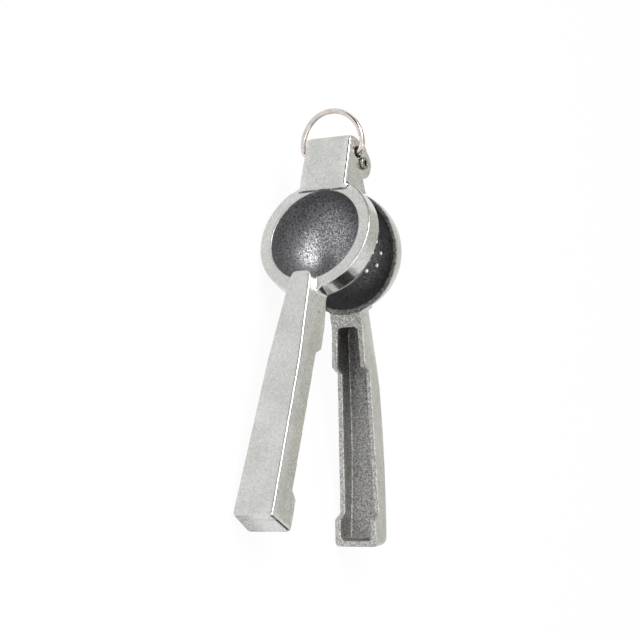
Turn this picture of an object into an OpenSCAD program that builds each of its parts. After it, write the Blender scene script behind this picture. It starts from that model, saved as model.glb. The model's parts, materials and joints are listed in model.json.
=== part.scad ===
// Hinged lemon squeezer: two cast levers on a rivet, with a wire hanging loop.
// Each lever is drawn shut, with the hinge axis on Y, the handle along +X and the plunger lever
// on the +Z side. The tool is then opened and laid on its side on the plane z = 0.

/* [Levers] */
// Distance from the hinge axis to the middle of the cup and the plunger
bowl_reach = 46.7; // [45.5:0.1:52]
// Distance from the hinge axis to the ends of the handles
handle_reach = 205; // [190:1:230]
// Angle between the two levers as stored
open_angle = 24.5; // [5:0.5:45]
// Distance of the handles' meeting plane below the hinge axis
seam_drop = 1.2; // [0.8:0.1:1.6]
// Gap left between the handles' pads when they are shut
shut_gap = 0.2; // [0.1:0.05:0.4]

/* [Handles] */
// Half width of a handle at its neck, at the meeting plane
neck_w = 9.2; // [8.4:0.1:10]
// Half width of a handle at its shoulder, at the meeting plane
shoulder_w = 10.7; // [10.2:0.1:12]
// Half width of a handle at its end, at the meeting plane
end_w = 13.1; // [12:0.1:15]
// Half width of a handle's outer face at its neck
face_neck_w = 6.2; // [5:0.1:7.5]
// Half width of a handle's outer face behind its shoulder
face_grip_w = 9.9; // [9:0.1:11]
// Half width of a handle's outer face at its end
face_end_w = 11.9; // [11:0.1:13]
// Thickness of the side walls and the end wall
wall = 3.3; // [2.5:0.1:4]
// Thickness of the web behind the outer face
web = 3; // [2:0.1:4]
// Radius of the long outer edges
edge_r = 1.2; // [0.6:0.1:2]
// Distance of the plunger handle's outer face from the hinge axis
plunger_face = 16.1; // [15.5:0.1:19]
// Distance of the cup handle's outer face from the hinge axis, at its ends
cup_face = 15; // [14:0.1:18]
// Bulge of the cup handle's outer face at its middle
cup_bulge = 3.5; // [1:0.1:5]
// Start of the finger recesses, from the hinge axis
recess_start = 108.5; // [100:0.5:125]
// Depth of the finger recess in the plunger handle
plunger_recess = 4; // [2:0.1:5]
// Depth of the finger recess in the cup handle
cup_recess = 5.3; // [2:0.1:6]
// Length of the raised pads at the handles' ends
end_pad = 14.5; // [10:0.5:25]
// Length of the slopes at the ends of the finger recesses
recess_ramp = 3.5; // [1:0.1:5]
// Radius of the corners at the handles' ends
end_r = 2.4; // [1:0.1:3]
// Length gained by the plunger handle's end from its outer face to the meeting plane
end_slant = 2.3; // [0:0.1:4]
// Radius of the outer edge at the cup handle's end
heel_r = 5; // [2.5:0.1:6]
// Radius of the corners at the tip of the plunger handle
nose_r = 4; // [2:0.1:5]

/* [Cup] */
// Outer radius of the cup and of the plunger's ring where they meet
rim_r = 33.5; // [33:0.1:36]
// Wall of the cup
cup_wall = 2.9; // [2.5:0.1:3.5]
// Outer depth of the cup below its rim
cup_depth = 30; // [28:0.1:31]
// Distance of the cup's rim above the hinge axis
rim_rise = 0.3; // [0:0.1:1]
// Diameter of the drain holes
drain_d = 2.2; // [1.5:0.1:3.5]
// Radius of the inner ring of drain holes
inner_drains = 3.4; // [3:0.1:5.5]
// Radius of the outer ring of drain holes
outer_drains = 9.3; // [9:0.1:14]
// Turn of the inner ring of drain holes
inner_turn = 15; // [0:1:89]
// Turn of the outer ring of drain holes
outer_turn = 44; // [0:1:44]
// Radius of the fillets between the bowls and the handles
neck_fillet = 8; // [3:0.1:9]

/* [Plunger] */
// Depth of the plunger's ring
ring_depth = 9.8; // [8.5:0.1:10.5]
// Gap between the ring and the cup's rim when the levers are shut
ring_gap = 0.6; // [0.4:0.1:1.5]
// Radius lost by the ring from the rim to its flat face
ring_draft = 0.7; // [0.1:0.1:1.5]
// Gap between the plunger's dome and the cup when the levers are shut
dome_gap = 2.4; // [2:0.1:3.5]
// Wall of the plunger's dome
dome_wall = 2.3; // [2:0.1:3]

/* [Hinge] */
// Width of the hinge block at its top
block_w = 27.6; // [26.5:0.1:30]
// Width gained by the block from its top to its foot
block_flare = 1; // [0:0.1:2.5]
// Angle by which each side of the block leans outwards, from its face to the back of its ears
block_draft = 4; // [0:0.5:5]
// Distance of the block's face from the hinge axis, at its top
block_face = 15.2; // [14.8:0.1:17]
// Distance of the block's face from the hinge axis, at its foot
foot_face = 12.8; // [12.2:0.1:14]
// Distance from the hinge axis to the top of the block
block_top = 11.5; // [11.2:0.1:13]
// Radius of the block's rounded top, seen from the side
top_r = 16; // [14:0.5:20]
// Radius of the block's arched top, seen from the front
crown_r = 90; // [60:5:200]
// Radius of the rounded foot of the block
foot_r = 3; // [1:0.1:4]
// Thickness of each ear
ear = 4.8; // [4.4:0.1:6]
// Radius of the ears round the rivet
ear_r = 8.4; // [8.2:0.1:9.2]
// Height below the hinge axis at which the webs leave the ears
cheek_drop = 2.6; // [2:0.1:4]
// Angle of the webs' lower edge
cheek_angle = 39; // [25:1:45]
// Radius of the cup lever's knuckle
knuckle_r = 7.8; // [7:0.1:7.9]
// Clearance of the knuckle at each side and round it
knuckle_play = 0.3; // [0.2:0.05:0.5]
// Radius of the rivet's shank
rivet_r = 2.6; // [2.2:0.1:3]
// Radial clearance of the rivet in the knuckle
rivet_play = 0.05; // [0.02:0.01:0.1]
// Radius of the rivet's heads
head_r = 3.5; // [3.2:0.05:4]
// Height of the rivet's rolled head
rolled_h = 1.7; // [1.5:0.1:2.5]
// Height of the rivet's plain head
plain_h = 1.8; // [1:0.1:2.5]
// Radius of the hollow in the rivet's rolled end
hollow_r = 1.5; // [0.8:0.1:1.7]
// Depth of that hollow
hollow_depth = 9; // [3:0.5:12]

/* [Loop] */
// Diameter of the loop's wire
wire_d = 3; // [2.6:0.1:3.2]
// Gap between the loop's legs and the block
leg_gap = 3; // [2:0.1:4]
// Distance from the loop's pivot to the middle of its arc
loop_rise = 4.9; // [4.6:0.1:10]
// Radius of the bends at the loop's feet
foot_bend = 4; // [3:0.1:4.5]
// Length of the loop's feet inside the ears
foot_in = 3.6; // [3:0.1:3.7]
// Distance of the loop's pivot above the hinge, towards the top of the block
pivot_up = 3.8; // [3.4:0.1:4.4]
// Distance of the loop's pivot from the hinge axis, towards the block's face
pivot_out = 6.3; // [5.9:0.1:7]
// Distance by which the loop has slid sideways in the ears
loop_shift = 1; // [0:0.1:1]
// Radial clearance of the loop's feet in the ears
foot_play = 0.1; // [0.05:0.01:0.2]
// Diameter of the countersinks round the loop's feet
sink_d = 7.2; // [5:0.1:7.6]
// Depth of these countersinks
sink_depth = 1.8; // [1:0.1:2]
// Angle of the loop from the plunger lever's line, towards the block's face
loop_angle = 24.5; // [0:0.5:60]

/* [Hidden] */

curve = 96;
corner = 32;
big = 300;

// heights above the hinge axis
plunger_pad = -seam_drop + shut_gap / 2;
cup_pad = -seam_drop - shut_gap / 2;
ring_back = rim_rise + ring_gap;

// distances from the hinge axis along the handles
rim_end = bowl_reach + rim_r;
bar_start = rim_end - 10;
pocket_start = rim_end + 7;
recess_end = handle_reach - end_pad;
cup_mid = (rim_end + handle_reach) / 2;
cup_half = cup_mid - rim_end;

// half widths of a handle at the meeting plane and at its outer face
seam_line = [[rim_end, neck_w], [recess_start, shoulder_w], [handle_reach, end_w]];
face_line = [[bar_start, face_neck_w], [recess_start + 12, face_grip_w], [handle_reach, face_end_w]];

// spheres of the cup and the dome
cup_in_r = rim_r - cup_wall;
cup_in_depth = cup_depth - cup_wall;
cup_ball = (pow(rim_r, 2) + pow(cup_depth, 2)) / (2 * cup_depth);
cup_ball_z = rim_rise - cup_depth + cup_ball;
well_ball = (pow(cup_in_r, 2) + pow(cup_in_depth, 2)) / (2 * cup_in_depth);
well_ball_z = rim_rise - cup_in_depth + well_ball;
dome_ball = well_ball - dome_gap;
bowl_ball = dome_ball - dome_wall;

// hinge block, with the plane of its sides given as the half width at a place along and above
// the hinge axis
foot_x = bowl_reach - bowl_ball;
function side(x, z) = (block_w + block_flare * (x + block_top) / (foot_x + block_top)) / 2
    + (foot_face - z) * tan(block_draft);
slot_w = block_w - 2 * ear;
slot_r = knuckle_r + knuckle_play;
loop_r = block_w / 2 + leg_gap + wire_d / 2;
foot_hole = wire_d + 2 * foot_play;

// the lying tool: the floor touches both rims and the plunger handle's end
half_open = open_angle / 2;
end_dx = handle_reach + end_slant - end_r - bowl_reach;
end_dy = end_w - end_r;
slope = asin((rim_r - end_r) / norm([end_dx, end_dy])) - atan(end_dy / end_dx);
lean = atan(tan(slope) / cos(half_open));

// place in the lying tool of a point of a lever turned by a
function lying(p, a) = let (
    x = p[0] * cos(a) + p[2] * sin(a),
    z = p[2] * cos(a) - p[0] * sin(a)
) [x * cos(lean) + p[1] * sin(lean), -z, p[1] * cos(lean) - x * sin(lean)];

// lowest point of a circle of radius r round p, in a lever turned by a
function low(p, r, a) = lying(p, a)[2] - r * norm([cos(lean), cos(a) * sin(lean)]);

end_x = handle_reach - end_r;
floor_z = min(
    low([bowl_reach, 0, rim_rise], rim_r, half_open),
    low([bowl_reach, 0, ring_back], rim_r, -half_open),
    low([end_x, end_r - end_w, cup_pad], end_r, half_open),
    low([end_x + end_slant, end_r - end_w, plunger_pad], end_r, -half_open)
);
far_x = lying([end_x + end_slant, end_w - end_r, plunger_pad], -half_open)[0] + end_r;
loop_tip = lying([-pivot_up - loop_rise * cos(loop_angle), -loop_shift,
    pivot_out + loop_rise * sin(loop_angle)], -half_open);
loop_turn = [cos(lean) * cos(loop_angle - half_open), sin(lean)];
near_x = loop_tip[0] - loop_r * norm(loop_turn) - wire_d / 2;
back_y = lying([handle_reach - heel_r, 0, heel_r - cup_face], half_open)[1] + heel_r;
front_y = lying([handle_reach, 0, plunger_face], -half_open)[1];

module laid_down() {
    translate([-(far_x + near_x) / 2, -(front_y + back_y) / 2, -floor_z])
        rotate([0, lean, 0]) rotate([90, 0, 0]) children();
}

module across(w) {
    rotate([90, 0, 0]) linear_extrude(w, center = true) children();
}

module pin(r, h) {
    rotate([90, 0, 0]) cylinder(h = h, r = r, center = true, $fn = curve);
}

// stations along a handle, closer together at its rounded tip and end
function stations(tip) = concat(
    [for (a = [0:22.5:67.5]) bar_start + tip * (1 - sin(a))],
    [rim_end, recess_start, recess_start + 12],
    [for (i = [1:3]) recess_start + 12 + (recess_end - recess_start - 16) * i / 3],
    [for (a = [0:15:90]) handle_reach - heel_r * (1 - sin(a))]
);

// depth taken off by a rounding of radius r that starts e before the end
function round_off(r, e) = e > 0 ? r - sqrt(max(0, r * r - e * e)) : 0;

function inset(x, tip) =
    round_off(end_r, x - end_x) + round_off(tip, bar_start + tip - x);

// body of a handle from height z0 to the outer face, given as a list of [x, height], with its
// end slant longer at z0
module bar(z0, faces, tip, side, slant) {
    hull() for (f = faces, m = [-1, 1]) {
        e = inset(f[0], tip);
        longer = slant * min(1, max(0, (f[0] - recess_end) / (end_pad - end_r)));
        seam = lookup(f[0], seam_line) - e;
        face = lookup(f[0], face_line) - e;
        translate([f[0] + longer, m * (seam - 0.01), z0]) cube(0.02, center = true);
        translate([f[0], m * (face - edge_r), f[1] - side * edge_r])
            rotate([0, 90, 0]) cylinder(h = 0.02, r = edge_r, center = true, $fn = corner);
    }
}

// corner cut out of a neck, from the bowl's circle to a handle of half width w
module neck_web(w) {
    cy = w + neck_fillet;
    cx = bowl_reach + sqrt(pow(rim_r - ring_draft + neck_fillet, 2) - cy * cy);
    for (m = [-1, 1])
        difference() {
            polygon([[bowl_reach, 0], [cx, m * cy], [cx, 0]]);
            translate([cx, m * cy]) circle(neck_fillet, $fn = curve);
        }
}

// plan of the pocket inside a handle
module pocket_plan() {
    hull() for (m = [-1, 1]) {
        translate([pocket_start + 2.5, m * (neck_w - wall + 0.3 - 2.5)]) circle(2.5, $fn = corner);
        translate([recess_start + 4, m * (shoulder_w - wall - 2)]) circle(2, $fn = corner);
        translate([handle_reach - wall - 2, m * (end_w - wall - 2.6)]) circle(2, $fn = corner);
    }
}

// side view of the finger recess, cut depth deep from the pad at height z
module recess_view(z, depth) {
    polygon([
        [recess_start, z], [recess_start + recess_ramp, z + depth],
        [recess_end - recess_ramp, z + depth], [recess_end, z],
        [recess_end, z - sign(depth) * 5], [recess_start, z - sign(depth) * 5],
    ]);
}

module plunger_bar() {
    difference() {
        bar(plunger_pad, [for (x = stations(nose_r)) [x, plunger_face]], nose_r, 1, end_slant);
        across(60) polygon([
            [bar_start - 1, ring_back], [rim_end + 1.5, ring_back], [rim_end + 16, plunger_pad],
            [rim_end + 16, plunger_pad - 5], [bar_start - 1, plunger_pad - 5],
        ]);
        across(60) recess_view(plunger_pad, plunger_recess);
        translate([0, 0, plunger_pad - 1])
            linear_extrude(plunger_face - web - plunger_pad + 1) pocket_plan();
    }
}

// side view of the hinge block with its ears
module block_view() {
    circle(ear_r, $fn = curve);
    intersection() {
        polygon([
            [-block_top - 5, -1.6], [0, -1.6], [0, ring_back], [foot_x, ring_back],
            [foot_x, foot_face - foot_r], [foot_x - foot_r, foot_face],
            [-block_top, block_face], [-block_top - 5, block_face],
        ]);
        union() {
            translate([top_r - block_top, 6.9]) circle(top_r, $fn = curve);
            translate([0, -5]) square([foot_x, 40]);
        }
    }
    intersection() {
        translate([foot_x - foot_r, foot_face - foot_r]) circle(foot_r, $fn = curve);
        translate([foot_x - foot_r, ring_back]) square([foot_r, foot_face - ring_back]);
    }
}

// webs between the ears and the ring, cut so that they turn clear of the cup's rim
module cheeks() {
    clear = rim_r + knuckle_play;
    intersection() {
        across(block_w + 10) polygon([
            [0, ring_back], [0, -cheek_drop], [ear_r - 0.5, -cheek_drop],
            [foot_x, -cheek_drop - (foot_x - ear_r + 0.5) * tan(cheek_angle)], [foot_x, ring_back],
        ]);
        rotate([90, 0, 0]) rotate_extrude($fn = curve) difference() {
            translate([0, -foot_x]) square([foot_x, 2 * foot_x]);
            translate([bowl_reach, 0]) circle(clear, $fn = curve);
        }
    }
}

module block() {
    difference() {
        intersection() {
            union() {
                across(block_w + 10) block_view();
                cheeks();
            }
            translate([0, 0, -20]) linear_extrude(block_face + 21)
                translate([crown_r - block_top, 0]) circle(crown_r, $fn = 4 * curve);
        }
        for (m = [0, 1]) mirror([0, m, 0])
            translate([-block_top, block_w / 2, foot_face])
                rotate([block_draft, 0, atan(block_flare / 2 / (foot_x + block_top))])
                    translate([-50, 0, -50]) cube([100, 20, 100]);
    }
}

module plunger_lever() {
    color("#d0d1ce") laid_down() rotate([0, -half_open, 0]) difference() {
        union() {
            difference() {
                union() {
                    translate([bowl_reach, 0, ring_back])
                        cylinder(h = ring_depth, r1 = rim_r, r2 = rim_r - ring_draft, $fn = curve);
                    translate([0, 0, ring_back]) linear_extrude(ring_depth) neck_web(7.2);
                    intersection() {
                        translate([bowl_reach, 0, well_ball_z]) sphere(dome_ball, $fn = curve);
                        translate([bowl_reach - 40, -40, -40]) cube([80, 80, 40 + ring_back + 1]);
                    }
                    block();
                }
                translate([bowl_reach, 0, well_ball_z]) {
                    sphere(bowl_ball, $fn = curve);
                    cylinder(h = 20, r = bowl_ball, $fn = curve);
                }
            }
            plunger_bar();
        }
        pin(slot_r, slot_w);
        translate([-20, -slot_w / 2, -20]) cube([20 + foot_x, slot_w, 20 + ring_back]);
        pin(rivet_r, big);
        translate([-pivot_up, 0, pivot_out]) pin(foot_hole / 2, block_w * 2);
        for (m = [0, 1]) mirror([0, m, 0]) {
            translate([0, side(0, 0), 0]) rotate([-90, 0, 0])
                cylinder(h = 5, r = head_r + 0.4, $fn = curve);
            translate([-pivot_up, side(-pivot_up, pivot_out) + sink_depth, pivot_out]) rotate([90, 0, 0])
                cylinder(h = 2 * sink_depth, d1 = 2 * sink_d - foot_hole, d2 = foot_hole, $fn = curve);
        }
    }
}

// side view of what lies above the cup handle's meeting face
module cup_pad_view() {
    polygon([
        [rim_end + 0.3, rim_rise], [rim_end + 6.5, cup_pad], [handle_reach + 1, cup_pad],
        [handle_reach + 1, rim_rise + 5], [rim_end + 0.3, rim_rise + 5],
    ]);
}

module cup_bar() {
    function out(x) = cup_face + cup_bulge * (1 - pow((x - cup_mid) / cup_half, 2));
    arch = (pow(cup_half, 2) + pow(cup_bulge, 2)) / (2 * cup_bulge);
    difference() {
        bar(rim_rise, [for (x = stations(nose_r))
            [x, round_off(heel_r, x + heel_r - handle_reach) - out(x)]], 0, -1, 0);
        across(60) cup_pad_view();
        across(60) recess_view(cup_pad, -cup_recess);
        intersection() {
            translate([0, 0, -40]) linear_extrude(45) pocket_plan();
            translate([cup_mid, 0, arch - cup_face - cup_bulge]) pin(arch - web, 60, $fn = 360);
        }
    }
}

// arm that carries the cup on the hinge
module arm() {
    across(slot_w - 2 * knuckle_play) polygon([
        [0, rim_rise], [foot_x, rim_rise], [foot_x, -12], [foot_x - 4, -11],
        [3.5, 0.3 - knuckle_r], [0, 0],
    ]);
    pin(knuckle_r, slot_w - 2 * knuckle_play);
}

module cup_lever() {
    color("#c4c5c0") laid_down() rotate([0, half_open, 0]) difference() {
        union() {
            intersection() {
                translate([bowl_reach, 0, cup_ball_z]) sphere(cup_ball, $fn = curve);
                translate([bowl_reach - 40, -40, -40]) cube([80, 80, 40 + rim_rise]);
            }
            difference() {
                translate([0, 0, rim_rise - 9]) linear_extrude(9) neck_web(7.6);
                across(60) cup_pad_view();
            }
            cup_bar();
            arm();
        }
        translate([bowl_reach, 0, well_ball_z]) sphere(well_ball, $fn = curve);
        pin(rivet_r + rivet_play, big);
        translate([bowl_reach, 0, -cup_depth - 5]) {
            cylinder(h = 20, d = drain_d, $fn = corner);
            for (i = [0:3]) rotate([0, 0, 90 * i + inner_turn])
                translate([inner_drains, 0]) cylinder(h = 20, d = drain_d, $fn = corner);
            for (i = [0:7]) rotate([0, 0, 45 * i + outer_turn])
                translate([outer_drains, 0]) cylinder(h = 20, d = drain_d, $fn = corner);
        }
    }
}

module hinge_rivet() {
    w = side(0, 0) + 0.1;
    color("#5a5a58") laid_down() rotate([0, -half_open, 0]) rotate([-90, 0, 0])
        rotate_extrude($fn = curve) difference() {
            union() {
                translate([0, -w]) square([rivet_r, 2 * w]);
                translate([0, w]) square([head_r - 0.8, rolled_h]);
                translate([0, w]) square([head_r, rolled_h - 0.8]);
                translate([head_r - 0.8, w + rolled_h - 0.8]) circle(0.8, $fn = corner);
                translate([0, -w - plain_h]) square([head_r - 0.8, plain_h]);
                translate([0, 0.8 - w - plain_h]) square([head_r, plain_h - 0.8]);
                translate([head_r - 0.8, 0.8 - w - plain_h]) circle(0.8, $fn = corner);
            }
            translate([0, w + rolled_h - hollow_depth]) square([hollow_r, hollow_depth + 1]);
        }
}

// half of the loop, in a plane with its legs along x
module half_loop() {
    translate([loop_rise, 0, 0]) rotate_extrude(angle = 90, $fn = curve)
        translate([loop_r, 0]) circle(d = wire_d, $fn = corner);
    translate([foot_bend, loop_r, 0]) rotate([0, 90, 0])
        cylinder(h = loop_rise - foot_bend, d = wire_d, $fn = corner);
    translate([foot_bend, loop_r - foot_bend, 0]) rotate([0, 0, 90])
        rotate_extrude(angle = 90, $fn = curve)
            translate([foot_bend, 0]) circle(d = wire_d, $fn = corner);
    translate([0, block_w / 2 - foot_in, 0]) rotate([-90, 0, 0])
        cylinder(h = loop_r - foot_bend - block_w / 2 + foot_in, d = wire_d, $fn = corner);
}

module hanging_loop() {
    color("#b9ada6") laid_down() rotate([0, -half_open, 0])
        translate([-pivot_up, -loop_shift, pivot_out]) rotate([0, 180 + loop_angle, 0]) {
            half_loop();
            mirror([0, 1, 0]) half_loop();
        }
}

plunger_lever();
cup_lever();
hinge_rivet();
hanging_loop();
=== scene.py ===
"""Hinged lemon squeezer: two cast levers, a rivet and a wire hanging loop, dressed for rendering."""

import json
import math

import bmesh
import bpy
import numpy as np
from bpy.props import FloatProperty, FloatVectorProperty, IntProperty, PointerProperty
from mathutils import Euler, Matrix, Vector


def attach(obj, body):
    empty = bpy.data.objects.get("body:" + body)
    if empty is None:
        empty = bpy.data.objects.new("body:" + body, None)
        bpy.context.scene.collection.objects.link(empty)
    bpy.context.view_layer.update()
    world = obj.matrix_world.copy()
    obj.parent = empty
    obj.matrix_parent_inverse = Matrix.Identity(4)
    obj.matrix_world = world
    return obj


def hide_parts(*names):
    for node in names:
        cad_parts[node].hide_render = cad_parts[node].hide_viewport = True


bl_info = {
    "name": "Lemon Squeezer",
    "version": (1, 0, 0),
    "blender": (4, 5, 0),
    "location": "View3D > Sidebar > Squeezer",
    "description": "Dresses a hinged lemon squeezer with cast, riveted and polished finishes",
    "category": "Object",
}

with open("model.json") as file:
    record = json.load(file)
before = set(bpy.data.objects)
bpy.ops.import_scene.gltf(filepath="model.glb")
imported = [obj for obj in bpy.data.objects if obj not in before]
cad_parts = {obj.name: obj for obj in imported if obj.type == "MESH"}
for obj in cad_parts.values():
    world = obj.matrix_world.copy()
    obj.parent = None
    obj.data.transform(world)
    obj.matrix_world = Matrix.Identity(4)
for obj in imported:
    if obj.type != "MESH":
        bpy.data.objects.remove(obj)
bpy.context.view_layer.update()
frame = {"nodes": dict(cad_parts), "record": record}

MM = 0.001


# ---------------------------------------------------------------- where the levers lie

JOINTS = {j["name"]: j for j in frame["record"]["behaviour"]["joints"]}
HINGE = Vector(JOINTS["lever_hinge"]["pos_m"])
LOOP_PIVOT = Vector(JOINTS["loop_swing"]["pos_m"])
LEAN = math.asin(-JOINTS["lever_hinge"]["axis"][0])
HALF_OPEN = -math.radians(JOINTS["lever_hinge"]["range_deg"][0]) / 2


def lever_place(side):
    """Matrix from a lever's own space to the lying tool, side 1 for the plunger and -1 for the cup.

    In a lever's own space x runs along the handle, y along the hinge and z towards the plunger."""
    lying = Matrix.Rotation(LEAN, 4, "Y") @ Matrix.Rotation(math.radians(90), 4, "X")
    return Matrix.Translation(HINGE) @ lying @ Matrix.Rotation(-side * HALF_OPEN, 4, "Y")


PLUNGER = lever_place(1)
CUP = lever_place(-1)

# forms of the castings in a lever's own space, in millimetres
BOWL_AT = (46.7, 0.0, 4.03)
BOWL_R = 26.13
WELL_R = 30.83
RING_FACE = 10.7
RING_R = 32.75
RIM_RISE = 0.3
RIM_R = 33.5
CUP_WALL = 2.9
DRAIN_R = 1.1
# reach from the cup's middle and turn in degrees of each drain hole
DRAINS = [(0.0, 0.0)]
DRAINS += [(3.4, 15.0 + 90.0 * i) for i in range(4)]
DRAINS += [(9.3, 44.0 + 45.0 * i) for i in range(8)]

BLOCK_HALF = 14.87
BLOCK_TOP = -11.5
BLOCK_TOP_HALF = 13.8
BLOCK_LOW = 12.8
BLOCK_DRAFT = math.tan(math.radians(4))
# length of block over which its half width grows by one
BLOCK_SPREAD = 64.1
# places along the block, and the height of its face at each
BLOCK_FACE = ((BLOCK_TOP, 17.6, 20.6), (15.2, BLOCK_LOW, 9.8))
KNUCKLE_END = 13.0
SOCKET_AT = (-3.8, 6.3)
RIVET_R = 2.6

HANDLE_START = 80.2
HANDLE_END = 205.0
PLUNGER_FACE = 16.1
CUP_FACE = 15.0
CUP_BULGE = 3.5
CUP_FACE_MEAN = 16.5
# places along a handle, and its half width at each, where the two meet and on the outer face
HANDLE_SEAM = ((HANDLE_START, 108.5, HANDLE_END), (9.2, 10.7, 13.1))
HANDLE_FACE = ((70.2, 120.5, HANDLE_END), (6.2, 9.9, 11.9))
SEAM_DROP = 1.2
CHANNEL_START = 84
CHANNEL_END = 203.4
# places along a handle, and the height of its stepped meeting edge at each
STEPS_AT = (108.5, 112, 187, 190.5)
PLUNGER_PAD = ((80.5, 96, *STEPS_AT), (0.9, -1.1, -1.1, 2.9, 2.9, -1.1))
CUP_PAD = ((80.5, 86.7, *STEPS_AT), (0.3, -1.3, -1.3, -6.6, -6.6, -1.3))

# mesh of a casting
CAST_TRIANGLES = 115000
LONGEST_EDGE = 2.2 * MM
ROUNDING_LEVELS = 8


# ---------------------------------------------------------------- sizes and colours


class SqueezerSizes(bpy.types.PropertyGroup):
    """Sizes of the finish on the pieces."""

    grain: FloatProperty(
        name="Casting grain",
        description="Size of the cells that the castings are rounded over",
        default=0.4 * MM,
        min=0.3 * MM,
        max=1.2 * MM,
        unit="LENGTH",
    )
    softness: IntProperty(
        name="Edge softness",
        description="Smoothing passes that round the castings' edges",
        default=11,
        min=2,
        max=40,
    )
    block_softness: IntProperty(
        name="Block softness",
        description="Further smoothing passes on the long edges of the hinge block and the handle",
        default=44,
        min=0,
        max=80,
    )
    wire: FloatProperty(
        name="Loop wire",
        description="Diameter of the hanging loop's wire",
        default=3.0 * MM,
        min=2.6 * MM,
        max=3.0 * MM,
        unit="LENGTH",
    )
    speckle: FloatProperty(
        name="Speckle",
        description="Speckles per metre on the as-cast and dark faces",
        default=2300.0,
        min=400.0,
        max=4000.0,
    )
    roll: FloatProperty(
        name="Rolled head",
        description="Radius of the roll round the hollow end of the rivet",
        default=0.8 * MM,
        min=0.5 * MM,
        max=0.85 * MM,
        unit="LENGTH",
    )


class SqueezerColours(bpy.types.PropertyGroup):
    """Colours of the finishes."""

    satin: FloatVectorProperty(
        name="Satin metal",
        description="Outer faces of the castings",
        subtype="COLOR",
        default=(0.70, 0.705, 0.68),
        min=0,
        max=1,
    )
    as_cast: FloatVectorProperty(
        name="As-cast metal",
        description="Inner faces and rims of the castings",
        subtype="COLOR",
        default=(0.46, 0.455, 0.44),
        min=0,
        max=1,
    )
    graphite: FloatVectorProperty(
        name="Dark bowls",
        description="Insides of the plunger's bowl and of the cup",
        subtype="COLOR",
        default=(0.15, 0.15, 0.155),
        min=0,
        max=1,
    )
    rivet: FloatVectorProperty(
        name="Rivet",
        description="Steel of the rivet",
        subtype="COLOR",
        default=(0.42, 0.39, 0.34),
        min=0,
        max=1,
    )
    nickel: FloatVectorProperty(
        name="Loop",
        description="Nickel of the hanging loop",
        subtype="COLOR",
        default=(0.68, 0.61, 0.57),
        min=0,
        max=1,
    )
    floor: FloatVectorProperty(
        name="Floor",
        description="Floor that the squeezer lies on",
        subtype="COLOR",
        default=(0.90, 0.90, 0.90),
        min=0,
        max=1,
    )


def sizes():
    return bpy.context.scene.squeezer_sizes


def colours():
    return bpy.context.scene.squeezer_colours


# ---------------------------------------------------------------- node tools


def new_material(name):
    """Empty node material with its Principled shader and output."""
    mat = bpy.data.materials.new(name)
    mat.use_nodes = True
    mat.node_tree.nodes.clear()
    shader = mat.node_tree.nodes.new("ShaderNodeBsdfPrincipled")
    out = mat.node_tree.nodes.new("ShaderNodeOutputMaterial")
    mat.node_tree.links.new(shader.outputs["BSDF"], out.inputs["Surface"])
    return mat, shader


def node(tree, kind, **sets):
    made = tree.nodes.new("ShaderNode" + kind)
    for key, value in sets.items():
        setattr(made, key, value)
    return made


def feed(tree, target, value):
    """Links value to the socket where it is an output, and sets it otherwise."""
    if isinstance(value, bpy.types.NodeSocket):
        tree.links.new(value, target)
    else:
        target.default_value = value


def maths(tree, operation, a, b=0.0):
    made = node(tree, "Math", operation=operation)
    feed(tree, made.inputs[0], a)
    feed(tree, made.inputs[1], b)
    return made.outputs[0]


def ramp(tree, value, low, high, to_low=0.0, to_high=1.0):
    """Value taken from low..high to to_low..to_high along a smooth step."""
    made = node(tree, "MapRange", interpolation_type="SMOOTHSTEP", clamp=True)
    given = {"Value": value, "From Min": low, "From Max": high, "To Min": to_low, "To Max": to_high}
    for name, part in given.items():
        feed(tree, made.inputs[name], part)
    return made.outputs["Result"]


def mix(tree, factor, a, b):
    """Mix of two values."""
    made = node(tree, "Mix", data_type="FLOAT")
    feed(tree, made.inputs["Factor"], factor)
    feed(tree, made.inputs["A"], a)
    feed(tree, made.inputs["B"], b)
    return made.outputs["Result"]


def tint(tree, factor, a, b):
    """Mix of two colours."""
    made = node(tree, "Mix", data_type="RGBA")
    sockets = {s.identifier: s for s in made.inputs}
    feed(tree, made.inputs["Factor"], factor)
    feed(tree, sockets["A_Color"], a)
    feed(tree, sockets["B_Color"], b)
    return next(s for s in made.outputs if s.identifier == "Result_Color")


def rgba(colour, gain=1.0):
    return (*[min(1.0, c * gain) for c in tuple(colour)[:3]], 1.0)


def own_space(tree, place):
    """Object coordinates turned into a lever's own space, in metres."""
    coords = node(tree, "TexCoord")
    back = place.inverted()
    made = node(tree, "Mapping", vector_type="POINT")
    made.inputs["Location"].default_value = back.to_translation()
    made.inputs["Rotation"].default_value = back.to_euler("XYZ")
    tree.links.new(coords.outputs["Object"], made.inputs["Vector"])
    return made.outputs["Vector"]


def noise(tree, vector, scale, detail=3.0, rough=0.55):
    made = node(tree, "TexNoise")
    feed(tree, made.inputs["Vector"], vector)
    feed(tree, made.inputs["Scale"], scale)
    made.inputs["Detail"].default_value = detail
    made.inputs["Roughness"].default_value = rough
    return made.outputs["Fac"]


def painted(tree, name):
    """Value painted on the mesh under this name."""
    return node(tree, "Attribute", attribute_name=name).outputs["Fac"]


def new_group(name, inputs, outputs):
    """Empty node group with its sockets, and its input and output nodes."""
    tree = bpy.data.node_groups.new(name, "ShaderNodeTree")
    for way, sockets in (("INPUT", inputs), ("OUTPUT", outputs)):
        for label, kind in sockets:
            tree.interface.new_socket(label, in_out=way, socket_type="NodeSocket" + kind)
    return tree, tree.nodes.new("NodeGroupInput"), tree.nodes.new("NodeGroupOutput")


def use_group(tree, name, **inputs):
    """The group in a material, with its inputs fed."""
    made = node(tree, "Group", node_tree=bpy.data.node_groups[name])
    for label, value in inputs.items():
        feed(tree, made.inputs[label], value)
    return made.outputs


# ---------------------------------------------------------------- shared effects


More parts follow.
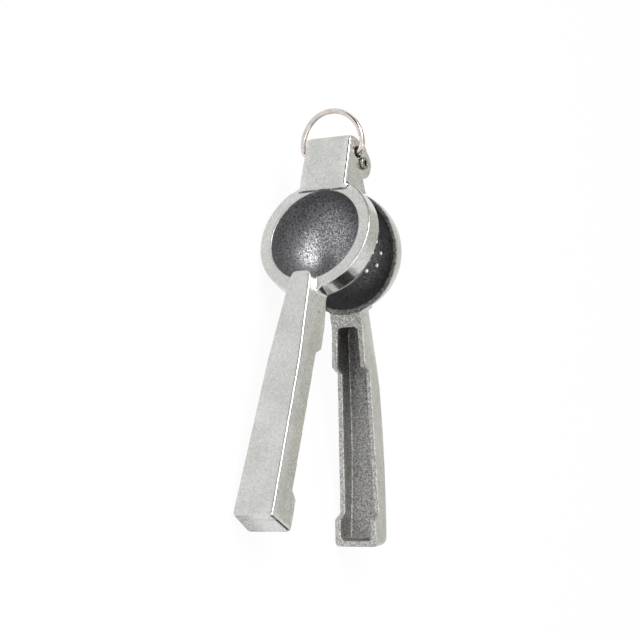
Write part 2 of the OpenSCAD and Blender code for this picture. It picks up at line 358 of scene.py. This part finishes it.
def grain_group():
    """Grain of a sand-cast face: bright and dark specks, and the height they stand at."""
    inputs = [("Vector", "Vector"), ("Scale", "Float")]
    tree, given, out = new_group("Casting grain", inputs, [("Specks", "Float"), ("Height", "Float")])
    fine = noise(tree, given.outputs["Vector"], given.outputs["Scale"], 2.0, 0.7)
    half = maths(tree, "MULTIPLY", given.outputs["Scale"], 0.42)
    coarse = noise(tree, given.outputs["Vector"], half, 3.0, 0.6)
    both = mix(tree, 0.4, fine, coarse)
    feed(tree, out.inputs["Specks"], ramp(tree, both, 0.38, 0.64))
    feed(tree, out.inputs["Height"], both)


def mottle_group():
    """Faint clouds and small pits of a linished face."""
    outputs = [("Clouds", "Float"), ("Pits", "Float"), ("Height", "Float")]
    tree, given, out = new_group("Mottle and pits", [("Vector", "Vector")], outputs)
    wide = noise(tree, given.outputs["Vector"], 55.0, 3.0)
    near = noise(tree, given.outputs["Vector"], 420.0, 3.0, 0.65)
    fine = noise(tree, given.outputs["Vector"], 1050.0, 2.0, 0.6)
    clouds = mix(tree, 0.45, mix(tree, 0.5, wide, near), fine)
    feed(tree, out.inputs["Clouds"], ramp(tree, clouds, 0.38, 0.62))
    cells = node(tree, "TexVoronoi")
    feed(tree, cells.inputs["Vector"], given.outputs["Vector"])
    cells.inputs["Scale"].default_value = 420.0
    near_point = ramp(tree, cells.outputs["Distance"], 0.08, 0.2, 1.0, 0.0)
    chosen = ramp(tree, noise(tree, given.outputs["Vector"], 160.0, 2.0), 0.5, 0.58)
    feed(tree, out.inputs["Pits"], maths(tree, "MULTIPLY", near_point, chosen))
    feed(tree, out.inputs["Height"], mix(tree, 0.35, wide, near))


def wear_group():
    """Polish on the edges that handling has rubbed, broken up a little."""
    inputs = [("Vector", "Vector"), ("Edge", "Float")]
    tree, given, out = new_group("Edge polish", inputs, [("Polish", "Float")])
    broken = ramp(tree, noise(tree, given.outputs["Vector"], 700.0, 3.0), 0.25, 0.5, 0.75, 1.0)
    feed(tree, out.inputs["Polish"], maths(tree, "MULTIPLY", given.outputs["Edge"], broken))


def painted_shade_group():
    """Painted shade, dark in creases and between parts, with a ragged edge."""
    tree, given, out = new_group("Painted shade", [("Vector", "Vector"), ("Amount", "Float")], [("Shade level", "Float")])
    amount = given.outputs["Amount"]
    ragged = noise(tree, given.outputs["Vector"], 480.0, 4.0, 0.7)
    lost = maths(tree, "MULTIPLY", maths(tree, "SUBTRACT", ragged, 0.5), 2.6)
    held = maths(tree, "ADD", amount, maths(tree, "MULTIPLY", lost, amount))
    feed(tree, out.inputs["Shade level"], ramp(tree, held, 0.05, 0.95))


def tarnish_group():
    """Slow change of tone and fine marks on the small bright pieces."""
    outputs = [("Tone", "Float"), ("Marks", "Float")]
    tree, given, out = new_group("Tarnish", [("Vector", "Vector")], outputs)
    slow = noise(tree, given.outputs["Vector"], 240.0, 3.0)
    feed(tree, out.inputs["Tone"], ramp(tree, slow, 0.3, 0.7))
    feed(tree, out.inputs["Marks"], noise(tree, given.outputs["Vector"], 1600.0, 2.0, 0.6))


# ---------------------------------------------------------------- materials


def cast_material(name, place, satin_gain, dark_gain):
    """Satin outer faces, speckled as-cast faces, dark bowls and polished edges of a casting, with painted
    shade in its channels and creases.

    satin_gain and dark_gain make its satin faces and its dark bowl paler or darker."""
    mat, shader = new_material(name)
    tree = mat.node_tree
    look = colours()
    where = own_space(tree, place)
    inner, dark, edge = painted(tree, "inner"), painted(tree, "dark"), painted(tree, "edge")
    pocket, bare, painted_shade = painted(tree, "pocket"), painted(tree, "bare"), painted(tree, "painted_shade")

    grain = use_group(tree, "Casting grain", Vector=where, Scale=sizes().speckle)
    mottle = use_group(tree, "Mottle and pits", Vector=where)
    polish = use_group(tree, "Edge polish", Vector=where, Edge=edge)["Polish"]

    dull, bright = rgba(look.satin, 0.82 * satin_gain), rgba(look.satin, 1.11 * satin_gain)
    satin = tint(tree, mottle["Clouds"], dull, bright)
    satin = tint(tree, maths(tree, "MULTIPLY", mottle["Pits"], 0.75), satin, rgba(look.satin, 0.45))
    satin = tint(tree, maths(tree, "MULTIPLY", grain["Specks"], 0.26), satin, rgba(look.satin, 0.55))
    raw = tint(tree, grain["Specks"], rgba(look.as_cast, 0.5), rgba(look.as_cast, 1.8))
    # Painted shade: as-cast faces darkened down inside the handles' channels.
    channel_shade_colour = tint(tree, grain["Specks"], rgba(look.as_cast, 0.12), rgba(look.as_cast, 0.85))
    raw = tint(tree, pocket, raw, channel_shade_colour)
    dull, bright = rgba(look.graphite, 0.25 * dark_gain), rgba(look.graphite, 2.6 * dark_gain)
    deep = tint(tree, grain["Specks"], dull, bright)
    colour = tint(tree, inner, satin, raw)
    colour = tint(tree, dark, colour, deep)
    colour = tint(tree, bare, colour, rgba(look.satin, 0.9))
    # Painted shade: dark creases, gaps between the parts and one side of the handle's end face.
    shade_level = use_group(tree, "Painted shade", Vector=where, Amount=painted_shade)["Shade level"]
    colour = tint(tree, shade_level, colour, rgba(look.graphite, 0.4))
    feed(tree, shader.inputs["Base Color"], colour)

    rough = mix(tree, mottle["Clouds"], 0.36, 0.42)
    rough = mix(tree, inner, rough, mix(tree, grain["Specks"], 0.62, 0.42))
    rough = mix(tree, dark, rough, mix(tree, grain["Specks"], 0.44, 0.24))
    rough = mix(tree, polish, rough, 0.1)
    feed(tree, shader.inputs["Roughness"], rough)
    feed(tree, shader.inputs["Metallic"], mix(tree, dark, 1.0, 0.85))

    grain_height = mix(tree, inner, mix(tree, dark, 0.0, 0.16), 0.12)
    height = maths(tree, "MULTIPLY", grain["Height"], grain_height)
    smooth_height = maths(tree, "MULTIPLY", mottle["Height"], 0.05)
    height = maths(tree, "ADD", height, smooth_height)
    height = maths(tree, "SUBTRACT", height, maths(tree, "MULTIPLY", mottle["Pits"], 0.04))
    bump = node(tree, "Bump")
    bump.inputs["Strength"].default_value = 1.0
    bump.inputs["Distance"].default_value = 1.0 * MM
    feed(tree, bump.inputs["Height"], height)
    feed(tree, shader.inputs["Normal"], bump.outputs["Normal"])
    return mat


def small_metal(name, place, colour, low, high, depth):
    """Bright metal of the rivet and of the loop, low to high in tone."""
    mat, shader = new_material(name)
    tree = mat.node_tree
    tarnish = use_group(tree, "Tarnish", Vector=own_space(tree, place))
    shade = tint(tree, tarnish["Tone"], rgba(colour, low), rgba(colour, high))
    feed(tree, shader.inputs["Base Color"], shade)
    feed(tree, shader.inputs["Roughness"], mix(tree, tarnish["Tone"], 0.2, 0.12))
    shader.inputs["Metallic"].default_value = 1.0
    bump = node(tree, "Bump")
    bump.inputs["Distance"].default_value = depth
    feed(tree, bump.inputs["Height"], tarnish["Marks"])
    feed(tree, shader.inputs["Normal"], bump.outputs["Normal"])
    return mat


# ---------------------------------------------------------------- castings


def step(low, high, values):
    """Smooth step from 0 at low to 1 at high."""
    t = np.clip((values - low) / (high - low), 0, 1)
    return t * t * (3 - 2 * t)


def read(mesh):
    """Places and normals of a mesh's points."""
    points = np.empty(len(mesh.vertices) * 3)
    normals = np.empty(len(mesh.vertices) * 3)
    mesh.vertices.foreach_get("co", points)
    mesh.vertex_normals.foreach_get("vector", normals)
    return points.reshape(-1, 3) / MM, normals.reshape(-1, 3)


def paint(mesh, name, values):
    """Keeps a value for each point under this name, for the materials."""
    mesh.attributes.new(name, "FLOAT", "POINT").data.foreach_set("value", values.astype(np.float32))


def block_side(x, z):
    """Half width of the hinge block."""
    return BLOCK_TOP_HALF + (x - BLOCK_TOP) / BLOCK_SPREAD + (BLOCK_LOW - z) * BLOCK_DRAFT


def block_front(x):
    """Height of the hinge block's face."""
    return np.interp(x, *BLOCK_FACE)


def block_edges(points):
    """Nearness of points to the long front edges of the hinge block."""
    x, y, z = points.T
    out = np.maximum(block_side(x, z) - np.abs(y), 0)
    up = np.maximum(block_front(x) - z, 0)
    sides = step(4.0, 2.2, np.hypot(out, up)) * step(21.5, 19.5, x)
    top = step(2.4, 1.0, np.hypot(np.maximum(x - BLOCK_TOP, 0), up))
    return np.maximum(sides, top * 0.5)


def handle_half(x, z, outer, side):
    """Half width of a handle at a height, side 1 for the plunger and -1 for the cup.

    outer is the distance from where the handles meet to the handle's outer face."""
    seam = np.interp(x, *HANDLE_SEAM)
    face = np.interp(x, *HANDLE_FACE)
    t = np.clip((z * side + SEAM_DROP) / (outer + SEAM_DROP), 0, 1)
    return seam + (face - seam) * t


def channel(x, y, z, outer, side):
    """1 within the side walls and the ends of a handle's channel, and 0 outside them."""
    walls = step(0.8, 1.4, handle_half(x, z, outer, side) - np.abs(y))
    return walls * step(CHANNEL_START, CHANNEL_START + 2, x) * step(CHANNEL_END, CHANNEL_END - 0.6, x)


def shaded(x, depth, inside):
    """Painted shade in a channel, darker from its mouth down and paler towards the handle's end."""
    return step(0.3, 3.0, depth) * inside * (1 - 0.6 * step(92, 150, x))


def plunger_edges(points):
    """Nearness of points to the edges of the plunger lever that are rounded and polished."""
    x, y, z = points.T
    out = np.abs(handle_half(x, z, PLUNGER_FACE, 1) - np.abs(y))
    corner = step(2.6, 1.3, np.hypot(out, PLUNGER_FACE - z)) * step(71, 74, x)
    corner *= step(HANDLE_END - 1, HANDLE_END - 4, x)
    return np.maximum(block_edges(points), corner * 0.5)


def casting(node_name, piece_name, place, edges):
    """Copy of a lever's solid with its edges rounded as a casting's are, in the lever's own space.

    edges, where given, says how near points are to the edges that are rounded further."""
    bm = bmesh.new()
    bm.from_mesh(frame["nodes"][node_name].data)
    bmesh.ops.remove_doubles(bm, verts=bm.verts, dist=1e-6)
    bm.transform(place.inverted())
    mesh = bpy.data.meshes.new(piece_name)
    bm.to_mesh(mesh)
    bm.free()
    made = bpy.data.objects.new(piece_name, mesh)
    bpy.context.scene.collection.objects.link(made)

    cells = made.modifiers.new("cells", "REMESH")
    cells.mode = "VOXEL"
    cells.voxel_size = sizes().grain
    cells.use_smooth_shade = True
    soften = made.modifiers.new("soften", "SMOOTH")
    soften.iterations = sizes().softness
    soften.factor = 0.5
    settle(made)

    if edges:
        points, _ = read(made.data)
        weights = edges(points)
        group = made.vertex_groups.new(name="long edges")
        for level in range(1, ROUNDING_LEVELS + 1):
            chosen = np.nonzero(np.round(weights * ROUNDING_LEVELS) == level)[0]
            group.add(chosen.tolist(), level / ROUNDING_LEVELS, "REPLACE")
        round_off = made.modifiers.new("round off", "SMOOTH")
        round_off.vertex_group = group.name
        round_off.iterations = sizes().block_softness
        round_off.factor = 0.5
    triangles = sum(len(p.vertices) - 2 for p in made.data.polygons)
    thin = made.modifiers.new("thin", "DECIMATE")
    thin.ratio = min(1.0, CAST_TRIANGLES / triangles)
    settle(made)
    split_long(made.data, LONGEST_EDGE)
    return made


def split_long(mesh, longest):
    """Splits the edges longer than this, so that what is painted on the points stays sharp."""
    bm = bmesh.new()
    bm.from_mesh(mesh)
    for _ in range(4):
        edges = [e for e in bm.edges if e.calc_length() > longest]
        if not edges:
            break
        bmesh.ops.subdivide_edges(bm, edges=edges, cuts=1)
        bmesh.ops.triangulate(bm, faces=[f for f in bm.faces if len(f.verts) > 3])
    bm.to_mesh(mesh)
    bm.free()


def settle(made):
    """Turns the object's modifiers into its mesh."""
    graph = bpy.context.evaluated_depsgraph_get()
    mesh = bpy.data.meshes.new_from_object(made.evaluated_get(graph))
    made.modifiers.clear()
    made.data = mesh


def place_casting(made, place, node_name, body, material):
    """Lays a painted casting in the tool, in the place of the lever's solid."""
    made.data.transform(place)
    made.data.shade_smooth()
    made.data.materials.clear()
    made.data.materials.append(material)
    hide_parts(node_name)
    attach(made, body)


def paint_plunger(mesh):
    """Says which finish each point of the plunger lever has."""
    points, normals = read(mesh)
    x, y, z = points.T
    across = np.hypot(x - BOWL_AT[0], y)
    away = np.linalg.norm(points - BOWL_AT, axis=1)
    nose = step(69.4, 69.9, x) * step(0.4, 0.1, np.abs(y) - handle_half(x, z, PLUNGER_FACE, 1))
    bowl = step(BOWL_R + 0.75, BOWL_R + 0.45, across) * step(RING_FACE - 0.15, RING_FACE - 0.4, z)
    bowl *= step(BOWL_R + 1.4, BOWL_R + 1.1, away) * (1 - nose)
    paint(mesh, "dark", bowl)

    past_knuckle = step(KNUCKLE_END, KNUCKLE_END + 0.4, x)
    pad = np.interp(x, *PLUNGER_PAD)
    rim = step(0.35, 0.7, -normals[:, 2]) * step(1.2, 0.6, np.abs(z - pad)) * past_knuckle
    inside = channel(x, y, z, PLUNGER_FACE, 1) * step(PLUNGER_FACE - 1.5, PLUNGER_FACE - 1.9, z)
    dome = step(BOWL_AT[2] - 3.0, BOWL_AT[2] - 3.3, z) * step(34, 33.6, across) * past_knuckle
    paint(mesh, "inner", np.clip(np.maximum.reduce([rim, inside, dome]) * (1 - bowl), 0, 1))
    # Painted shade down inside the plunger handle's channel.
    paint(mesh, "pocket", shaded(x, z - pad, inside))

    out = np.abs(handle_half(x, z, PLUNGER_FACE, 1) - np.abs(y))
    corner = step(1.5, 0.7, np.hypot(out, PLUNGER_FACE - z)) * step(76, 80, x) * 0.25
    tip = step(1.6, 0.8, np.abs(x - HANDLE_END) + np.abs(z - PLUNGER_FACE) * 0.4)
    ring = step(RING_R - 0.45, RING_R - 0.15, across) * step(1.1, 1.5, z)
    ring *= step(RING_FACE + 0.3, RING_FACE - 0.1, z) * 0.6
    shine = np.maximum.reduce([block_edges(points), corner, tip, ring * (1 - np.clip(rim + inside, 0, 1))])
    paint(mesh, "edge", np.clip(shine, 0, 1))
    paint(mesh, "bare", np.zeros(len(points)))

    # Painted shade: dark crease where the block's foot meets the ring's face.
    foot = step(0.9, 0.3, np.hypot(x - 20.8, z - RING_FACE - 0.3)) * step(15.2, 14.6, np.abs(y))
    # Painted reflection: dark line round the ring's outer brim, where the rounded edge mirrors dark
    # surroundings.
    brim = step(0.45, 0.15, np.abs(np.hypot(across - RING_R, z - RING_FACE) - 0.3)) * step(60, 24, x)
    # Painted shade round the rivet's socket, where the head meets the block.
    socket = step(3.9, 3.5, np.hypot(x - SOCKET_AT[0], z - SOCKET_AT[1]))
    socket *= step(0.05, 0.4, block_side(x, z) - np.abs(y))
    # Painted shade: the handle's end face darker towards its -y side, as light falls across it.
    heel = step(HANDLE_END - 0.8, HANDLE_END - 0.2, x) * step(12, -12, y) * 0.45
    paint(mesh, "painted_shade", np.clip(np.maximum.reduce([foot * 0.8, brim * 0.6, socket, heel]), 0, 1))


def paint_cup(mesh):
    """Says which finish each point of the cup lever has."""
    points, normals = read(mesh)
    x, y, z = points.T
    across = np.hypot(x - BOWL_AT[0], y)
    away = np.linalg.norm(points - BOWL_AT, axis=1)
    well = step(WELL_R + 0.7, WELL_R + 0.4, away) * step(RIM_RISE - 0.2, RIM_RISE - 0.6, z)
    paint(mesh, "dark", well * step(RIM_R - 2.2, RIM_R - 2.6, across))

    pad = np.interp(x, *CUP_PAD)
    rim = step(0.35, 0.7, normals[:, 2]) * step(1.3, 0.7, np.abs(z - pad))
    inside = channel(x, y, z, CUP_FACE + CUP_BULGE, -1) * step(-0.2, 0.3, outer_gap(x, z) - 1.5)
    arm = step(KNUCKLE_END + 0.4, KNUCKLE_END, x) * step(-7.6, -7.2, z)
    paint(mesh, "inner", np.clip(np.maximum.reduce([rim, inside, arm]), 0, 1))
    # Painted shade down inside the cup handle's channel.
    paint(mesh, "pocket", shaded(x, pad - z, inside))

    holes = np.zeros(len(points))
    for reach, turn in DRAINS:
        turn = math.radians(turn)
        far = np.hypot(x - BOWL_AT[0] - reach * math.cos(turn), y - reach * math.sin(turn))
        holes = np.maximum(holes, step(DRAIN_R + 0.25, DRAIN_R + 0.05, far))
    holes *= step(-20, -22, z) * step(WELL_R + 0.1, WELL_R + 0.5, away)
    paint(mesh, "bare", holes)

    out = np.abs(handle_half(x, z, CUP_FACE_MEAN, -1) - np.abs(y))
    corner = step(1.9, 0.9, np.hypot(out, outer_gap(x, z))) * step(80, 82, x) * 0.75
    lip = step(0.5, 0.2, np.abs(across - RIM_R + CUP_WALL)) * step(0.8, 0.4, np.abs(z - RIM_RISE)) * 0.8
    paint(mesh, "edge", np.clip(np.maximum(corner, lip), 0, 1))
    # Painted shade on the cup's rim face, which sits in the narrow gap facing the plunger lever.
    paint(mesh, "painted_shade", rim * step(34.2, 33.6, across) * 0.6)


def outer_gap(x, z):
    """Distance inside the cup handle's bulged outer face."""
    middle = (HANDLE_START + HANDLE_END) / 2
    along = (x - middle) / (HANDLE_END - middle)
    return z + CUP_FACE + CUP_BULGE * (1 - along**2)


class SQUEEZER_OT_plunger(bpy.types.Operator):
    """Cast the plunger lever with its hinge block, ring, bowl and handle"""

    bl_idname = "squeezer.plunger"
    bl_label = "Plunger lever"

    def execute(self, context):
        made = casting("plunger_lever", "plunger_casting", PLUNGER, plunger_edges)
        paint_plunger(made.data)
        material = cast_material("plunger metal", PLUNGER, 1.0, 1.65)
        place_casting(made, PLUNGER, "plunger_lever", "plunger", material)
        return {"FINISHED"}


class SQUEEZER_OT_cup(bpy.types.Operator):
    """Cast the cup lever with its knuckle, drained cup and handle"""

    bl_idname = "squeezer.cup"
    bl_label = "Cup lever"

    def execute(self, context):
        made = casting("cup_lever", "cup_casting", CUP, None)
        paint_cup(made.data)
        material = cast_material("cup metal", CUP, 0.97, 1.35)
        place_casting(made, CUP, "cup_lever", "cup", material)
        return {"FINISHED"}


# ---------------------------------------------------------------- rivet and loop


def finish_piece(bm, name, place, node_name, body, material):
    """Makes the mesh an object in its place, in the stead of the solid of this node."""
    bmesh.ops.recalc_face_normals(bm, faces=bm.faces)
    bm.transform(place)
    mesh = bpy.data.meshes.new(name)
    bm.to_mesh(mesh)
    bm.free()
    mesh.shade_smooth()
    mesh.materials.append(material)
    made = bpy.data.objects.new(name, mesh)
    bpy.context.scene.collection.objects.link(made)
    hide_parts(node_name)
    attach(made, body)
    return made


def arc(at_r, at_h, radius, start, end, steps):
    """Points (radius, height) of an arc round a place of a turned outline, angles in degrees."""
    turns = [math.radians(start + (end - start) * i / steps) for i in range(steps + 1)]
    return [(at_r + radius * math.cos(t), at_h + radius * math.sin(t)) for t in turns]


class SQUEEZER_OT_rivet(bpy.types.Operator):
    """Turn the rivet with its plain head and its rolled hollow end"""

    bl_idname = "squeezer.rivet"
    bl_label = "Hinge rivet"

    def execute(self, context):
        seat, head, shank, hollow = BLOCK_HALF + 0.1, 3.5, RIVET_R, 1.5
        crown, corner, rolled, lip, bore = 1.8, 1.0, 1.7, 0.35, 7.0
        roll = sizes().roll / MM
        steps = 12
        outline = [(0.0, -seat - crown)]
        outline += arc(head - corner, -seat - crown + corner, corner, -90, 0, steps)
        outline += [(head, -seat), (shank, -seat), (shank, seat), (head - 0.15, seat)]
        outline += arc(head - roll, seat + rolled - roll, roll, 0, 90, steps)
        outline += arc(hollow + lip, seat + rolled - lip, lip, 90, 180, steps)
        outline += [(hollow, seat - bore), (0.0, seat - bore - 0.2)]
        bm = bmesh.new()
        points = [bm.verts.new((r * MM, h * MM, 0)) for r, h in outline]
        edges = [bm.edges.new(pair) for pair in zip(points, points[1:])]
        bmesh.ops.spin(
            bm,
            geom=points + edges,
            cent=(0, 0, 0),
            axis=(0, 1, 0),
            angle=2 * math.pi,
            steps=96,
            use_merge=True,
        )
        bmesh.ops.remove_doubles(bm, verts=bm.verts, dist=1e-7)
        material = small_metal("rivet metal", PLUNGER, colours().rivet, 0.6, 1.2, 0.03 * MM)
        finish_piece(bm, "turned_rivet", PLUNGER, "hinge_rivet", "plunger", material)
        return {"FINISHED"}


class SQUEEZER_OT_loop(bpy.types.Operator):
    """Bend the hanging loop from round wire"""

    bl_idname = "squeezer.loop"
    bl_label = "Hanging loop"

    def execute(self, context):
        half, foot, bend, rise, slide = 18.3 * MM, 10.2 * MM, 4.0 * MM, 4.9 * MM, 1.0 * MM
        bm = bmesh.new()
        made = bmesh.ops.create_circle(
            bm,
            cap_ends=True,
            segments=48,
            radius=sizes().wire / 2,
            matrix=Matrix.Translation((0, foot, 0)) @ Matrix.Rotation(math.pi / 2, 4, "X"),
        )
        ends = list({e for v in made["verts"] for e in v.link_edges})

        def straight(by):
            """Draws the wire on in a straight line."""
            pulled = bmesh.ops.extrude_edge_only(bm, edges=ends)["geom"]
            bmesh.ops.translate(bm, vec=by, verts=[g for g in pulled if isinstance(g, bmesh.types.BMVert)])
            return [g for g in pulled if isinstance(g, bmesh.types.BMEdge)]

        def turned(at, angle, steps):
            """Draws the wire on round a place."""
            spun = bmesh.ops.spin(
                bm, geom=ends, cent=at, axis=(0, 0, 1), angle=angle, steps=steps, use_merge=False
            )
            return [g for g in spun["geom_last"] if isinstance(g, bmesh.types.BMEdge)]

        ends = straight((0, half - bend - foot, 0))
        ends = turned((bend, half - bend, 0), -math.pi / 2, 12)
        ends = straight((rise - bend, 0, 0))
        turned((rise, 0, 0), -math.pi / 2, 40)
        bmesh.ops.mirror(bm, geom=bm.verts[:] + bm.edges[:] + bm.faces[:], axis="Y", merge_dist=1e-6)
        lift = math.pi + HALF_OPEN * 2
        turn = Matrix.Translation((0, -slide, 0)) @ Matrix.Rotation(lift, 4, "Y")
        place = Matrix.Translation(LOOP_PIVOT) @ PLUNGER.to_3x3().to_4x4() @ turn
        material = small_metal("loop metal", PLUNGER, colours().nickel, 0.9, 1.1, 0.02 * MM)
        finish_piece(bm, "wire_loop", place, "hanging_loop", "loop", material)
        return {"FINISHED"}


# ---------------------------------------------------------------- stage


CAMERA_AT = Vector((0.27083, -0.82347, 0.49734))
CAMERA_TURN = (20.468133, -59.25187, 84.907235)
CAMERA_LENS = 104.94

# name, direction from the squeezer, distance, size and power in watts
LAMPS = (
    ("key", (-0.39, -0.46, 0.80), 1.4, (0.8, 0.65), 13.0),
    ("fill", (0.28, -0.60, 0.75), 1.4, (0.35, 0.3), 2.2),
)
DARK = (0.02, 0.02, 0.02)
GREY = (0.66, 0.65, 0.6)
# name, direction from the squeezer, distance, size and colour
CARDS = (
    ("front dark", (-0.54, -0.76, 0.31), 1.5, (1.2, 1.05), DARK),
    ("top dark", (-0.18, 0.12, 0.97), 1.5, (0.9, 0.6), DARK),
    ("end dark", (0.90, 0.33, 0.28), 1.5, (2.2, 0.8), DARK),
    ("left dark", (-0.66, 0.28, 0.70), 1.5, (0.8, 0.9), DARK),
    ("back grey", (-0.14, 0.83, 0.50), 1.7, (1.6, 1.2), GREY),
)
FLOOR_HALF = 4.0
FLOOR_GLOW = 0.93
SKY_ON_OBJECT = 0.7


def seen_directly(tree):
    """Value that is 1 for what the camera sees, also mirrored or through glass."""
    path = node(tree, "LightPath")
    value = path.outputs["Is Camera Ray"]
    for ray in ("Is Glossy Ray", "Is Transmission Ray"):
        value = maths(tree, "MAXIMUM", value, path.outputs[ray])
    return value


def flat_sheet(name, size):
    """Flat square sheet, with this for the grid's size."""
    bm = bmesh.new()
    bmesh.ops.create_grid(bm, x_segments=1, y_segments=1, size=size)
    mesh = bpy.data.meshes.new(name)
    bm.to_mesh(mesh)
    bm.free()
    made = bpy.data.objects.new(name, mesh)
    bpy.context.scene.collection.objects.link(made)
    return made


def area_light(name, towards, distance, size, power):
    """Soft light hung in a direction from the squeezer."""
    data = bpy.data.lights.new(name, "AREA")
    data.shape = "RECTANGLE"
    data.size, data.size_y = size
    data.energy = power
    light = bpy.data.objects.new(name, data)
    bpy.context.scene.collection.objects.link(light)
    light.location = Vector(towards).normalized() * distance
    light.rotation_euler = (-Vector(towards)).to_track_quat("-Z", "Y").to_euler()
    return light


def card(name, towards, distance, size, colour):
    """Card that is seen only in the metal, hung in a direction from the squeezer."""
    made = flat_sheet(name, 0.5)
    made.location = Vector(towards).normalized() * distance
    made.rotation_euler = Vector(towards).to_track_quat("Z", "Y").to_euler()
    made.scale = (size[0], size[1], 1.0)
    mat = bpy.data.materials.new(name)
    mat.use_nodes = True
    tree = mat.node_tree
    tree.nodes.clear()
    glow = node(tree, "Emission")
    glow.inputs["Color"].default_value = rgba(colour)
    out = node(tree, "OutputMaterial")
    tree.links.new(glow.outputs[0], out.inputs["Surface"])
    made.data.materials.append(mat)
    made.visible_camera = False
    made.visible_diffuse = False
    made.visible_shadow = False
    return made


def hang_camera(scene):
    """The camera, in its place for the main view."""
    data = bpy.data.cameras.new("view")
    data.lens = CAMERA_LENS
    data.sensor_width = 36.0
    data.clip_end = 20.0
    camera = bpy.data.objects.new("view", data)
    camera.location = CAMERA_AT
    camera.rotation_euler = Euler([math.radians(a) for a in CAMERA_TURN], "XYZ")
    scene.collection.objects.link(camera)
    scene.camera = camera


def lay_floor():
    """White floor that takes a very faint shadow."""
    floor = flat_sheet("floor", FLOOR_HALF)
    mat, shader = new_material("pale floor")
    tree = mat.node_tree
    shader.inputs["Base Color"].default_value = rgba(colours().floor)
    shader.inputs["Roughness"].default_value = 0.9
    shader.inputs["Specular IOR Level"].default_value = 0.0
    plain = node(tree, "Emission")
    plain.inputs["Color"].default_value = (1, 1, 1, 1)
    both = node(tree, "MixShader")
    feed(tree, both.inputs[0], maths(tree, "MULTIPLY", seen_directly(tree), FLOOR_GLOW))
    tree.links.new(shader.outputs[0], both.inputs[1])
    tree.links.new(plain.outputs[0], both.inputs[2])
    out = next(n for n in tree.nodes if n.type == "OUTPUT_MATERIAL")
    tree.links.new(both.outputs[0], out.inputs["Surface"])
    floor.data.materials.append(mat)


def light_sky(scene):
    """White surroundings, which light the pieces less than they show."""
    world = bpy.data.worlds.new("studio")
    world.use_nodes = True
    scene.world = world
    tree = world.node_tree
    sky = tree.nodes["Background"]
    sky.inputs["Color"].default_value = (1, 1, 1, 1)
    feed(tree, sky.inputs["Strength"], ramp(tree, seen_directly(tree), 0.0, 1.0, SKY_ON_OBJECT, 1.0))


class SQUEEZER_OT_stage(bpy.types.Operator):
    """Lay the pale floor, hang the soft lights and cards, and set the camera"""

    bl_idname = "squeezer.stage"
    bl_label = "Stage"

    def execute(self, context):
        scene = context.scene
        scene.view_settings.view_transform = "Standard"
        hang_camera(scene)
        lay_floor()
        light_sky(scene)
        for lamp in LAMPS:
            area_light(*lamp)
        for one in CARDS:
            card(*one)
        return {"FINISHED"}


# ---------------------------------------------------------------- add-on


class SQUEEZER_OT_effects(bpy.types.Operator):
    """Make the node groups that the materials share"""

    bl_idname = "squeezer.effects"
    bl_label = "Shared effects"

    def execute(self, context):
        grain_group()
        mottle_group()
        wear_group()
        painted_shade_group()
        tarnish_group()
        return {"FINISHED"}


class SQUEEZER_PT_panel(bpy.types.Panel):
    """Steps and settings of the squeezer"""

    bl_idname = "SQUEEZER_PT_panel"
    bl_label = "Lemon squeezer"
    bl_space_type = "VIEW_3D"
    bl_region_type = "UI"
    bl_category = "Squeezer"

    def draw(self, context):
        for group in (context.scene.squeezer_sizes, context.scene.squeezer_colours):
            box = self.layout.box()
            for name in group.bl_rna.properties.keys():
                if name not in ("rna_type", "name"):
                    box.prop(group, name)
        for operator in OPERATORS:
            self.layout.operator(operator.bl_idname)


OPERATORS = (
    SQUEEZER_OT_stage,
    SQUEEZER_OT_effects,
    SQUEEZER_OT_plunger,
    SQUEEZER_OT_cup,
    SQUEEZER_OT_rivet,
    SQUEEZER_OT_loop,
)
CLASSES = (SqueezerSizes, SqueezerColours, *OPERATORS, SQUEEZER_PT_panel)


def register():
    for cls in CLASSES:
        bpy.utils.register_class(cls)
    bpy.types.Scene.squeezer_sizes = PointerProperty(type=SqueezerSizes)
    bpy.types.Scene.squeezer_colours = PointerProperty(type=SqueezerColours)


def unregister():
    del bpy.types.Scene.squeezer_colours
    del bpy.types.Scene.squeezer_sizes
    for cls in reversed(CLASSES):
        bpy.utils.unregister_class(cls)


def main():
    register()
    bpy.ops.squeezer.stage()
    bpy.ops.squeezer.effects()
    bpy.ops.squeezer.plunger()
    bpy.ops.squeezer.cup()
    bpy.ops.squeezer.rivet()
    bpy.ops.squeezer.loop()


if __name__ == "__main__":
    main()
